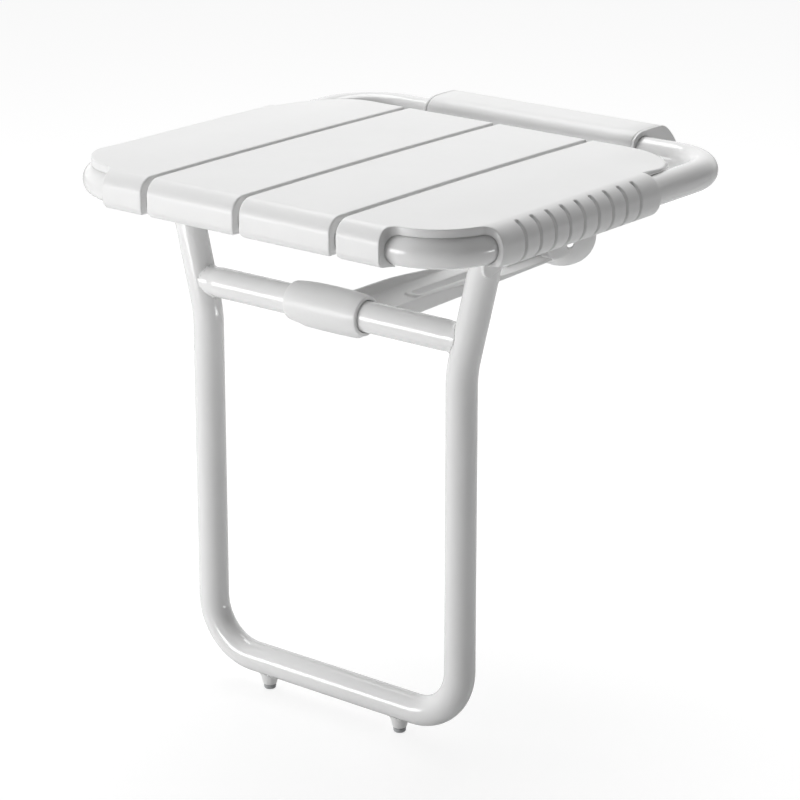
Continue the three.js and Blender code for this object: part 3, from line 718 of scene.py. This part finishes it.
def channel(x, y, z):
    """Trough that tapers towards the wall, without its slot."""
    run = np.clip((y - LEG_Y) / (HINGE_Y - LEG_Y), 0, 1)
    bottom = STRUT_Z - 20 + 6.5 * run
    top = STRUT_Z - 4 - 6.5 * smooth_step((run - 0.35) / 0.4)
    section = round_and(round_and(np.abs(x) - ARM_HALF, bottom - z, 3.0), z - top, 1.3)
    outer = round_and(section, np.maximum(LEG_Y - y, y - (HINGE_Y - 12)), 2.0)
    trough = round_and(np.abs(x) - (ARM_HALF - ARM_WALL), bottom + ARM_WALL - z, 2.5)
    return carve(outer, trough, 0.8)


def strut_shape(x, y, z):
    """Channel with a rimmed slot, a tongue at the wall and a barrel round the crossbar."""
    rim = stadium(x, y, SLOT_FROM, SLOT_TO, RIM_R)
    arm = round_or(channel(x, y, z), round_and(rim, slab(z, ARM_LOW[2], STRUT_Z - 12), 1.4), 1.5)
    arm = carve(arm, stadium(x, y, SLOT_FROM, SLOT_TO, SLOT_R), 1.0)
    pin = np.hypot(y - HINGE_Y, z - STRUT_Z)
    arm = carve(arm, pin - 17.3, 0.8)
    neck = box2(y, z, (HINGE_Y - 60, STRUT_Z - 14), (HINGE_Y, STRUT_Z - 6), 2)
    tongue = round_and(round_or(pin - EYE_R, neck, 5), np.abs(x) - TONGUE_HALF, 1.2)
    arm = round_or(arm, tongue, 2.0)
    bar = np.hypot(y - LEG_Y, z - STRUT_Z)
    barrel = round_and(bar - sleeve_radius(x), np.abs(x) - SLEEVE_HALF, 1.2)
    whole = round_or(arm, barrel, 7.0)
    whole = carve(whole, bar - (TUBE_R + 0.6), 0.8)
    return carve(whole, pin - 4.4, 0.4)


def strut():
    mesh = moulded(strut_shape, ARM_LOW, ARM_HIGH, (0.8, 0.8, 0.7), 0.5)
    add("strut_channel_arm", mesh, "strut", "white_plastic", ("strut_arm",))


# ---------------------------------------------------------------- wall pieces

BASE_Z = LEVEL - 100.0              # middle of the round wall base
BASE_REACH = 40.0
BELLY_OUT, BELLY_R = 12.0, 31.0     # its widest ring
BASE_WALL = 3.6
EAR_IN, EAR_OUT, EAR_R = 14.6, 26.0, 15.4
SCREW_X, SCREW_RISE = 10.0, 18.0
DRAIN_OUT = 37.5


def base_radius(out):
    """Outside of the round wall base, at a distance from the wall."""
    behind = 26 + 5 * np.sqrt(np.clip(1 - ((out - BELLY_OUT) / 12.5) ** 2, 0, 1))
    ahead = BELLY_R - 9 * np.clip((out - BELLY_OUT) / (BASE_REACH - BELLY_OUT), 0, 1) ** 2.2
    return np.where(out > BELLY_OUT, ahead, behind)


def base_shape(x, y, z):
    """Hollow cup with two ears, two screw columns and two drain holes."""
    out = -y
    rho = np.hypot(x, z - BASE_Z)
    radius = base_radius(out)
    cup = round_and(rho - radius, slab(out, 0.4, BASE_REACH), 2.5)
    cup = carve(cup, np.maximum(rho - radius + BASE_WALL, out - (BASE_REACH - BASE_WALL)), 1.0)
    pin = np.hypot(y - HINGE_Y, z - STRUT_Z)
    root = box2(y, z, (HINGE_Y, STRUT_Z - EAR_R), (-37, STRUT_Z + EAR_R))
    ears = round_and(np.minimum(pin - EAR_R, root), slab(np.abs(x), EAR_IN, EAR_OUT), 1.6)
    whole = round_or(cup, ears, 3.0)
    for side in (-1, 1):
        screw = np.hypot(x - SCREW_X * side, z - BASE_Z - SCREW_RISE)
        whole = round_or(whole, round_and(screw - 6.4, slab(out, 0.8, 39), 0.6), 1.0)
        whole = carve(whole, np.where(out > 8, screw - 5, screw - 3.1), 0.5)
        u, v = (x * side - EAR_OUT) * math.sqrt(0.5), (out - DRAIN_OUT) * math.sqrt(0.5)
        drain = np.maximum(np.hypot(u - v, z - BASE_Z + 3) - 3.6, np.abs(u + v) - 9)
        whole = carve(whole, drain, 0.7)
    return carve(whole, pin - 4.1, 0.5)


def wall_base():
    mesh = moulded(base_shape, BASE_LOW, BASE_HIGH, (0.6, 0.6, 0.6), 0.5)
    add("round_wall_base", mesh, "wall_mounting", "white_plastic", ("strut_wall_base",))


COVER_WALL = 1.8
COVER_LINE = [(-72.2, 1.5), (-72, 9.5), (-69.5, 13.2), (-64.5, 16.6), (-58, 18.2), (-30, 18.2),
              (-24, 16.6), (-17.5, 12.5), (-10, 5), (-4, -3.4), (-0.3, -9.6)]

CAP_IN, CAP_OUT = 112.0, 115.0


def cover_skin(y, z):
    """Distance outside the housing's upper surface, from its smooth section curve."""
    line = np.array(smooth_line(COVER_LINE))
    best = None
    for (ay, az), (by, bz) in zip(line, line[1:]):
        dy, dz = by - ay, bz - az
        t = np.clip(((y - ay) * dy + (z - az) * dz) / (dy * dy + dz * dz), 0, 1)
        distance = np.hypot(y - ay - t * dy, z - az - t * dz)
        side = np.sign((y - ay) * dz - (z - az) * dy)
        signed = -distance * side
        best = signed if best is None else np.where(distance < np.abs(best), signed, best)
    return best


def smooth_line(points, rounds=2):
    """Chaikin corner cutting of an open line."""
    points = [np.asarray(p, float) for p in points]
    for _ in range(rounds):
        cut = [points[0]]
        for a, b in zip(points, points[1:]):
            cut += [a * 0.75 + b * 0.25, a * 0.25 + b * 0.75]
        points = cut + [points[-1]]
    return points


def offset_line(points, distance):
    """An open line moved sideways."""
    points = np.array(points)
    along = np.gradient(points, axis=0)
    along /= np.linalg.norm(along, axis=1)[:, None]
    return points + distance * np.stack([along[:, 1], -along[:, 0]], axis=1)


def lofted(sections, xs):
    """Closed skin through sections in (y, z), one for each x, with flat ends."""
    count = len(sections[0])
    points = [(x, y, z) for x, section in zip(xs, sections) for y, z in section]
    faces = ring_faces(len(xs), count)
    faces.append(tuple(reversed(range(count))))
    faces.append(tuple((len(xs) - 1) * count + j for j in range(count)))
    return points, faces


def housing_cover():
    """Long cover of the hinge, its ends eased."""
    line = smooth_line(COVER_LINE)
    ease = 0.8
    inside = offset_line(line, COVER_WALL)[::-1]
    ends = [(COVER_HALF, ease), (COVER_HALF - 0.25, 0.25), (COVER_HALF - ease, 0.0)]
    middle = np.linspace(ease - COVER_HALF, COVER_HALF - ease, 13)[1:-1]
    rows = [(-x, inset) for x, inset in ends] + [(x, 0.0) for x in middle] + ends[::-1]
    sections = [np.concatenate([offset_line(line, inset), inside]) + (0, LEVEL) for _, inset in rows]
    points, faces = lofted(sections, [x for x, _ in rows])
    mesh = mesh_of("cover", points, flipped(faces))
    add("hinge_cover", mesh, "wall_mounting", "white_plastic", ("housing_cover",), 35)


def end_cap_shape(side):
    """Flat cap of the cover, open for the rear tube."""
    inner, outer = sorted((side * CAP_IN, side * CAP_OUT))

    def shape(x, y, z):
        z = z - LEVEL
        lower = box2(y, z, (-72.2, -17), (-0.6, 40), 3)
        body = np.maximum(cover_skin(y, z), lower)
        body = np.maximum(body, box2(y, z, (-72.3, -17), (-0.6, 18.3), 2.0))
        cap = round_and(body, slab(x, inner, outer), 1.0)
        return carve(cap, np.hypot(y - HINGE_Y, z) - (TUBE_R + 0.45), 0.5)

    return shape


def end_caps():
    for side, word in SIDES:
        node = f"housing_end_cap_{word}"
        mesh = moulded(end_cap_shape(side), *node_box(node), (0.4, 0.6, 0.6), 0.5)
        add(f"cover_cap_{word}", mesh, "wall_mounting", "white_plastic", (node,), 40)


# ---------------------------------------------------------------- feet, lugs, pins and screws

def foot_cone(x, word):
    """White cone that swells out of the foot bar."""
    def shape(px, py, pz):
        v, w = py - LEG_Y, pz - FOOT_BAR_Z
        bar = np.hypot(v, w) - TUBE_R
        t = np.clip((-9 - w) / 12.2, 0, 1)
        cone = round_and(np.hypot(px - x, v) - (8.2 - 2.4 * t ** 1.4), BOSS_LOW[2] - pz, 0.6)
        cone = np.maximum(cone, w)
        return np.maximum(round_or(cone, bar, 2.5), 0.1 - bar)

    low, high = (x - 12, LEG_Y - 12, BOSS_LOW[2]), (x + 12, LEG_Y + 12, FOOT_BAR_Z)
    mesh = moulded(shape, low, high, (0.5, 0.5, 0.5), 0.6)
    add(f"foot_cone_{word}", mesh, "leg", "white_plastic", (f"foot_boss_{word}",), 40)


def foot_pad(x, word):
    """Grey tip with a small hollow in its tread."""
    top = FOOT_HIGH[2]
    profile = rounded_profile([
        (0, top), (5.6, top), (5.3, FLOOR_Z + 1), (4.4, FLOOR_Z), (2.2, FLOOR_Z),
        (1.8, FLOOR_Z + 0.7), (0, FLOOR_Z + 0.7)], 0.5)
    points, faces = turned(profile)
    mesh = mesh_of("tip", points + (x, LEG_Y, 0), flipped(faces))
    add(f"foot_pad_{word}", mesh, "leg", "foot_rubber", (f"foot_tip_{word}",), 50)


def feet():
    for side, word in SIDES:
        x = side * (FOOT_LOW[0] + FOOT_HIGH[0]) / 2
        foot_cone(x, word)
        foot_pad(x, word)


def knuckle_shape(side):
    """Hub round the pivot pin, with a stem in the top of the upright."""
    lean = math.atan(KNEE_SPLAY)

    def shape(x, y, z):
        u, v, w = x * side - LEG_TOP_X, y - LEG_Y, z - LEVEL
        pin = np.hypot(v, w)
        hub = round_and(pin - 11.8, np.abs(u) - 11, 1.5)
        across = u * math.cos(lean) - w * math.sin(lean)
        along = u * math.sin(lean) + w * math.cos(lean)
        stem = np.maximum(np.hypot(across, v) - 12, np.maximum(along, -13.8 - along))
        return carve(round_or(hub, stem, 4), pin - 4.4, 0.5)

    return shape


def lug_shape(side):
    """Plate welded inside the side tube, its rear corner cut off at a slant."""
    def shape(x, y, z):
        v, w = y - LEG_Y, z - LEVEL
        outline = round_and(np.abs(v + 7) - 29, np.abs(w + 12) - 20, 9)
        outline = round_and(outline, (v - 22) * 0.62 - (w + 4) * 0.78, 12)
        plate = round_and(outline, slab(x * side, LUG_LOW[0], LUG_HIGH[0]), 0.9)
        return carve(plate, np.hypot(v, w) - 4.1, 0.4)

    return shape


def washer_shape(low, high):
    """Flat ring on the leg's pivot, between two places along X."""
    def shape(x, y, z):
        rho = np.hypot(y - LEG_Y, z - LEVEL)
        return carve(round_and(rho - 10, slab(x, low, high), 0.4), rho - 4.4, 0.3)

    return shape


def leg_pin(side, word):
    """Steel pin of the leg: a head with a small sink, on the inner side."""
    node = f"leg_pivot_pin_{word}"
    low, high = node_box(node)
    reach = high[0] - low[0]
    profile = rounded_profile([
        (0, 0), (2.2, 0), (2.6, 0.8), (3.2, 0), (7, 0), (7, 2), (3.9, 2), (3.9, reach),
        (0, reach)], 0.6)
    points, faces = turned(profile)
    points = along_x(points, (0, 0, 0))
    points[:, 0] *= side
    points += (low[0] if side > 0 else high[0], LEG_Y, LEVEL)
    mesh = mesh_of("pin", points, flipped(faces) if side > 0 else faces)
    add(f"pivot_pin_{word}", mesh, "seat", "steel", (node,), 40)


def leg_pivots():
    for side, word in SIDES:
        knuckle, lug, washer = (f"{part}_{word}" for part in ("leg_knuckle", "leg_lug", "leg_pivot_washer"))
        mesh = moulded(knuckle_shape(side), *node_box(knuckle), (0.6,) * 3, 0.5)
        add(f"leg_knuckle_solid_{word}", mesh, "leg", "grey_plastic", (knuckle,), 40)
        mesh = moulded(lug_shape(side), *node_box(lug), (0.5,) * 3, 0.5)
        add(f"leg_lug_solid_{word}", mesh, "seat", "white_coating", (lug,), 40)
        leg_pin(side, word)
        low, high = node_box(washer)
        mesh = moulded(washer_shape(low[0], high[0]), low, high, (0.3, 0.5, 0.5), 0.5)
        add(f"pivot_washer_{word}", mesh, "seat", "grey_plastic", (washer,), 40)


def strut_pin():
    """Plain steel pin through the wall base, its ends eased."""
    low, high = node_box("strut_pivot_pin")
    radius = (high[2] - low[2]) / 2
    profile = rounded_profile([(0, low[0]), (radius, low[0]), (radius, high[0]), (0, high[0])], 0.7)
    points, faces = turned(profile)
    mesh = mesh_of("pin", along_x(points, (0, HINGE_Y, STRUT_Z)), faces)
    add("strut_pin", mesh, "wall_mounting", "steel", ("strut_pivot_pin",), 40)


def rail():
    """Flat bar across the frame, drilled for the slats' screws."""
    low, high = node_box("slat_rail")

    def shape(x, y, z):
        whole = round_and(box2(y, z, low[1:], high[1:], 1.2), np.abs(x) - high[0], 0.6)
        for place in (24, 74, 122, 166):
            hole = np.hypot(np.abs(x) - place, y - (low[1] + high[1]) / 2) - 2.3
            whole = carve(whole, hole, 0.3)
        return whole

    mesh = moulded(shape, low, high, (1.0, 0.8, 0.6), 0.3)
    add("slat_carrier_bar", mesh, "seat", "white_coating", ("slat_rail",), 40)


def screw_head(radius, height, drive, sides=40):
    """Low domed head with a hexagonal drive; it points down Z."""
    points, faces = turned(rounded_profile([
        (0, -height + drive), (radius * 0.42, -height + drive), (radius * 0.42, -height),
        (radius * 0.62, -height), (radius, -height * 0.45), (radius, 0), (0, 0)], 0.35), sides)
    inner = np.hypot(points[:, 0], points[:, 1]) < radius * 0.46
    angle = np.arctan2(points[:, 1], points[:, 0])
    wobble = 0.93 / np.cos((angle + math.pi / 6) % (math.pi / 3) - math.pi / 6)
    points[inner, :2] *= wobble[inner, None]
    return points, flipped(faces)


def slat_screws():
    """Screws up through the bar: a head, and a shaft with a short blunt point."""
    for index in range(1, 5):
        for _, word in SIDES:
            node = f"slat_screw_{index}_{word}"
            low, high = node_box(node)
            x, y, _ = (low + high) / 2
            head, faces = screw_head(4.2, 2.6, 1.4)
            length = high[2] - low[2] - 2.7
            profile = [(0, 0), (2, 0), (2, length - 1.3), (1.4, length), (0, length)]
            shaft, more = turned(rounded_profile(profile, 0.2), 20)
            faces += [tuple(v + len(head) for v in face) for face in flipped(more)]
            points = np.concatenate([head + (x, y, low[2] + 2.6), shaft + (x, y, low[2] + 2.7)])
            add(f"slat_fixing_{index}_{word}", mesh_of("screw", points, faces), "seat", "steel", (node,), 40)


seat_frame()
leg_frame()
crossbar()
slats()
strut()
wall_base()
housing_cover()
end_caps()
feet()
leg_pivots()
strut_pin()
rail()
slat_screws()


# ---------------------------------------------------------------- studio

# From here on lengths are metres.
MIDDLE = np.array([0, -0.25, -0.12])
VIEW_AZIMUTH, VIEW_ELEVATION = math.radians(38.857), math.radians(18.279)
VIEW_RIGHT = np.array([math.cos(VIEW_AZIMUTH), math.sin(VIEW_AZIMUTH), 0])
VIEW_BACK = np.array([math.sin(VIEW_AZIMUTH), -math.cos(VIEW_AZIMUTH), 0])
CAMERA_TARGET = np.array([-0.0031, -0.2451, -0.2019 + LEVEL * MM])
CAMERA_DISTANCE = 2.5816
FLOOR_GLOW = 0.8


def floor():
    """Pale floor, a little brighter to the eye than the light it sends back up."""
    mesh = bpy.data.meshes.new("floor")
    reach, z = 14.0, FLOOR_Z * MM - 0.0004
    corners = [(-reach, -reach, z), (reach, -reach, z), (reach, reach, z), (-reach, reach, z)]
    mesh.from_pydata(corners, [], [(0, 1, 2, 3)])
    item = bpy.data.objects.new("floor", mesh)
    bpy.context.scene.collection.objects.link(item)
    material = bpy.data.materials.new("pale_floor")
    material.use_nodes = True
    tree = material.node_tree
    tree.nodes.clear()
    output = tree.nodes.new("ShaderNodeOutputMaterial")
    seen, lit, glow, both = (tree.nodes.new(kind) for kind in (
        "ShaderNodeMixShader", "ShaderNodeBsdfDiffuse", "ShaderNodeEmission", "ShaderNodeAddShader"))
    dim = tree.nodes.new("ShaderNodeBsdfDiffuse")
    lit.inputs["Color"].default_value = (0.3, 0.3, 0.3, 1)
    dim.inputs["Color"].default_value = (0.75, 0.75, 0.75, 1)
    glow.inputs["Strength"].default_value = FLOOR_GLOW
    tree.links.new(lit.outputs[0], both.inputs[0])
    tree.links.new(glow.outputs[0], both.inputs[1])
    path = tree.nodes.new("ShaderNodeLightPath")
    tree.links.new(path.outputs["Is Camera Ray"], seen.inputs[0])
    tree.links.new(dim.outputs[0], seen.inputs[1])
    tree.links.new(both.outputs[0], seen.inputs[2])
    tree.links.new(seen.outputs[0], output.inputs["Surface"])
    mesh.materials.append(material)


def world():
    """Surroundings that are bright behind the seat and dim on the near side."""
    item = bpy.data.worlds.new("studio")
    bpy.context.scene.world = item
    item.use_nodes = True
    tree = item.node_tree
    tree.nodes.clear()
    output = tree.nodes.new("ShaderNodeOutputWorld")
    studio = tree.nodes.new("ShaderNodeBackground")
    direction = tree.nodes.new("ShaderNodeTexCoord").outputs["Generated"]
    dot = tree.nodes.new("ShaderNodeVectorMath")
    dot.operation = "DOT_PRODUCT"
    brightest = -VIEW_BACK * 0.8 - VIEW_RIGHT * 0.5 + np.array([0, 0, 0.1])
    dot.inputs[1].default_value = tuple(brightest)
    tree.links.new(direction, dot.inputs[0])
    spread = tree.nodes.new("ShaderNodeMapRange")
    spread.interpolation_type = "SMOOTHSTEP"
    for name, value in (("From Min", -0.2), ("From Max", 0.7), ("To Min", 0.1), ("To Max", 1.2)):
        spread.inputs[name].default_value = value
    tree.links.new(dot.outputs["Value"], spread.inputs["Value"])
    tree.links.new(spread.outputs[0], studio.inputs["Strength"])
    white = tree.nodes.new("ShaderNodeBackground")
    mix = tree.nodes.new("ShaderNodeMixShader")
    path = tree.nodes.new("ShaderNodeLightPath")
    tree.links.new(path.outputs["Is Camera Ray"], mix.inputs[0])
    tree.links.new(studio.outputs[0], mix.inputs[1])
    tree.links.new(white.outputs[0], mix.inputs[2])
    tree.links.new(mix.outputs[0], output.inputs["Surface"])


def area_light(name, place, size, power):
    """Soft box pointing at the seat's middle, its power in watts."""
    lamp = bpy.data.lights.new(name, "AREA")
    lamp.shape = "RECTANGLE"
    lamp.size, lamp.size_y = size
    lamp.energy = power
    item = bpy.data.objects.new(name, lamp)
    bpy.context.scene.collection.objects.link(item)
    item.location = place
    item.rotation_euler = Vector(MIDDLE - place).to_track_quat("-Z", "Y").to_euler()
    item.visible_camera = False


def around(degrees, distance, height):
    """Place at an angle from the camera's side of the seat, turning to the right."""
    angle = math.radians(degrees)
    flat = VIEW_BACK * math.cos(angle) + VIEW_RIGHT * math.sin(angle)
    return MIDDLE + flat * distance + np.array([0, 0, height])


def lights():
    """Large box in front on the left, one overhead, and a weak low one on the right."""
    area_light("left_box", around(-65, 2.4, -0.2), (1.6, 1.2), 50)
    area_light("top_box", around(180, 0.9, 2.0), (1.7, 1.3), 28)
    area_light("right_box", around(70, 2.4, -0.5), (0.8, 0.8), 20)


def camera():
    """Long lens, turned to the seat's front right corner and a little above it."""
    data = bpy.data.cameras.new("camera")
    data.lens = 135
    data.sensor_width = 36
    data.clip_end = 60
    item = bpy.data.objects.new("camera", data)
    bpy.context.scene.collection.objects.link(item)
    back = VIEW_BACK * math.cos(VIEW_ELEVATION) + np.array([0, 0, math.sin(VIEW_ELEVATION)])
    up = np.cross(back, VIEW_RIGHT)
    place = CAMERA_TARGET + back * CAMERA_DISTANCE
    rows = [[VIEW_RIGHT[k], up[k], back[k], place[k]] for k in range(3)]
    item.matrix_world = Matrix(rows + [[0, 0, 0, 1]])
    bpy.context.scene.camera = item


bpy.context.scene.view_settings.view_transform = "Standard"
floor()
world()
lights()
camera()
